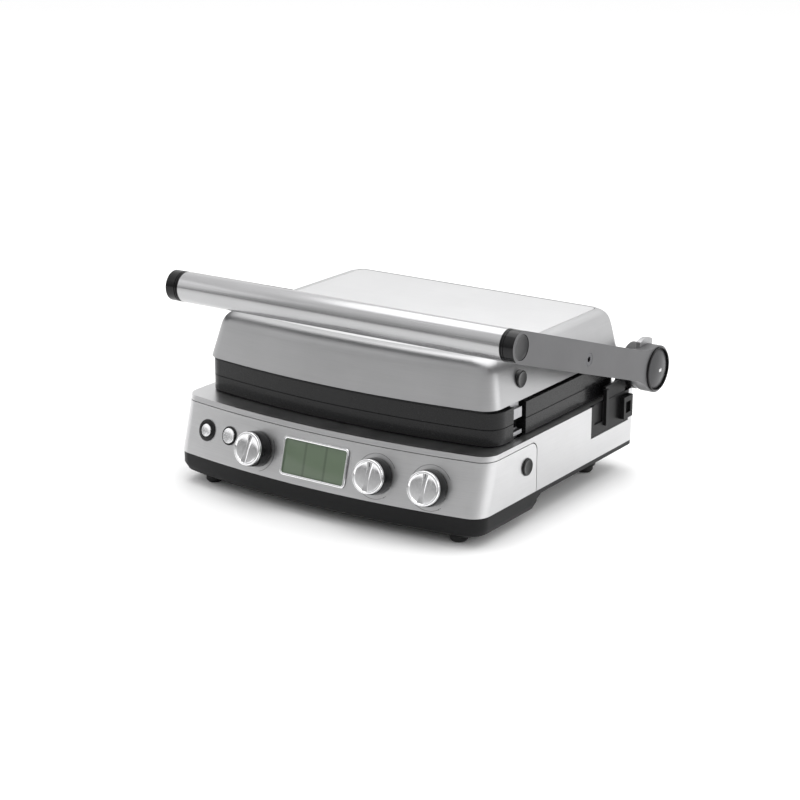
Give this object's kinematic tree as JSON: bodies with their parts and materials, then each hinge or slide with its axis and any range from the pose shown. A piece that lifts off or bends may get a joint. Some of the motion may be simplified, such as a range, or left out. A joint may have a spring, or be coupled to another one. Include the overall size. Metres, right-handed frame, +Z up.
{
  "type": "panini press",
  "caption": "Countertop contact grill with a floating ribbed lid on cast arms, a bar handle, dial controls and a flat-opening hinge.",
  "frame": {"origin": "middle of the bounding box on the table plane under the rubber feet, lid closed", "axes": "+X to the user's right along the handle, +Y from the control face to the hinge, +Z up"},
  "size_m": [0.4268, 0.3621, 0.2155],
  "materials": {
    "brushed_shell": "fine brushed",
    "brushed_panel": "fine brushed",
    "brushed_tube": "brushed along the tube",
    "chrome_trim": "polished",
    "black_plastic": "fine grain",
    "gloss_black": "polished",
    "cast_grey": "satin lacquer over casting",
    "coated_cast": "black non-stick coat",
    "heater_sheath": "heat-dulled",
    "bright_aluminium": "mill",
    "plain_steel": "zinc plated",
    "foot_rubber": "matt",
    "display_glass": "clear, green-grey",
    "display_panel": "satin",
    "board_green": "varnished",
    "switch_grey": "satin"
  },
  "bodies": {
    "base": {"base_pan": "black_plastic", "base_shell": "brushed_shell", "control_fascia": "brushed_panel", "lcd_bezel": "chrome_trim", "lcd_window": "display_glass", "lcd_module": "display_panel", "start_ring": "gloss_black", "sear_ring": "gloss_black", "key_switches": "switch_grey", "knob_encoders": "switch_grey", "control_board": "board_green", "board_carrier": "black_plastic", "power_board": "board_green", "rubber_feet": "foot_rubber", "base_screws": "plain_steel", "plate_frame": "black_plastic", "lower_reflector": "bright_aluminium", "lower_heater": "heater_sheath", "lower_grill_plate": "coated_cast", "grease_chute": "black_plastic", "cord_inlet": "black_plastic", "hinge_bracket_left": "cast_grey", "hinge_bracket_right": "cast_grey", "hinge_tower_left": "black_plastic", "hinge_tower_right": "black_plastic"},
    "hinge_shaft": {"hinge_shaft": "plain_steel", "shaft_collars": "plain_steel", "float_cams": "plain_steel"},
    "arms": {"arm_left": "cast_grey", "arm_right": "cast_grey", "handle_tube": "brushed_tube", "handle_collars": "gloss_black", "handle_bolts": "plain_steel", "boss_caps": "cast_grey", "pivot_screws": "plain_steel", "hub_rings": "gloss_black", "hub_caps": "cast_grey"},
    "lid": {"lid_shell": "brushed_shell", "lid_top_panel": "brushed_panel", "lid_under_frame": "black_plastic", "lid_pivot_bosses": "plain_steel", "upper_reflector": "bright_aluminium", "upper_heater": "heater_sheath", "upper_grill_plate": "coated_cast"},
    "upper_release": {"upper_release_button": "gloss_black", "upper_latch": "plain_steel"},
    "lower_release": {"lower_release_button": "gloss_black", "lower_latch": "plain_steel"},
    "select_knob": {"select_knob_skirt": "gloss_black", "select_knob_cap": "chrome_trim"},
    "heat_knob": {"heat_knob_skirt": "gloss_black", "heat_knob_cap": "chrome_trim"},
    "time_knob": {"time_knob_skirt": "gloss_black", "time_knob_cap": "chrome_trim"},
    "start_button": {"start_button": "chrome_trim"},
    "sear_button": {"sear_button": "chrome_trim"},
    "drip_tray": {"drip_tray": "black_plastic"},
    "release_lever": {"release_lever": "cast_grey"}
  },
  "joints": [
    {"name": "lid_open", "type": "hinge", "parent": "base", "child": "hinge_shaft", "pos_m": [0, 0.15597, 0.1113], "axis": [-1, 0, 0], "range_deg": [0, 170]},
    {"name": "float_lift", "type": "hinge", "parent": "hinge_shaft", "child": "arms", "pos_m": [0, 0.15597, 0.1113], "axis": [-1, 0, 0], "range_deg": [0, 8]},
    {"name": "lid_level", "type": "hinge", "parent": "arms", "child": "lid", "pos_m": [0, 0.00877, 0.157], "axis": [-1, 0, 0], "range_deg": [-8, 0]},
    {"name": "select_turn", "type": "hinge", "parent": "base", "child": "select_knob", "pos_m": [-0.0745, -0.15961, 0.05652], "axis": [-0.073, -0.9611, 0.2665], "range_deg": [-135, 135]},
    {"name": "heat_turn", "type": "hinge", "parent": "base", "child": "heat_knob", "pos_m": [0.0713, -0.15983, 0.05658], "axis": [0.0699, -0.9613, 0.2666], "range_deg": [-135, 135]},
    {"name": "time_turn", "type": "hinge", "parent": "base", "child": "time_knob", "pos_m": [0.1309, -0.1541, 0.05499], "axis": [0.1283, -0.9557, 0.265], "range_deg": [-135, 135]},
    {"name": "start_press", "type": "slide", "parent": "base", "child": "start_button", "axis": [0.1448, 0.9535, -0.2644], "range_m": [0, 0.0015], "stiffness_N_per_m": 300, "springref_m": -0.0015},
    {"name": "sear_press", "type": "slide", "parent": "base", "child": "sear_button", "axis": [0.1127, 0.9575, -0.2655], "range_m": [0, 0.0015], "stiffness_N_per_m": 300, "springref_m": -0.0015},
    {"name": "lower_release_press", "type": "slide", "parent": "base", "child": "lower_release", "axis": [-1, 0, 0], "range_m": [0, 0.003], "stiffness_N_per_m": 600, "springref_m": -0.002},
    {"name": "upper_release_press", "type": "slide", "parent": "lid", "child": "upper_release", "axis": [-1, 0, 0], "range_m": [0, 0.003], "stiffness_N_per_m": 600, "springref_m": -0.002},
    {"name": "tray_slide", "type": "slide", "parent": "base", "child": "drip_tray", "axis": [0, 1, 0], "range_m": [0, 0.115]},
    {"name": "lever_turn", "type": "hinge", "parent": "base", "child": "release_lever", "pos_m": [0, 0.15597, 0.1113], "axis": [-1, 0, 0], "range_deg": [0, 18], "stiffness_Nm_per_rad": 0.6, "springref_deg": -5.73}
  ],
  "couplings": [
    {"joint": "lid_level", "follows": "float_lift", "ratio": -1}
  ]
}
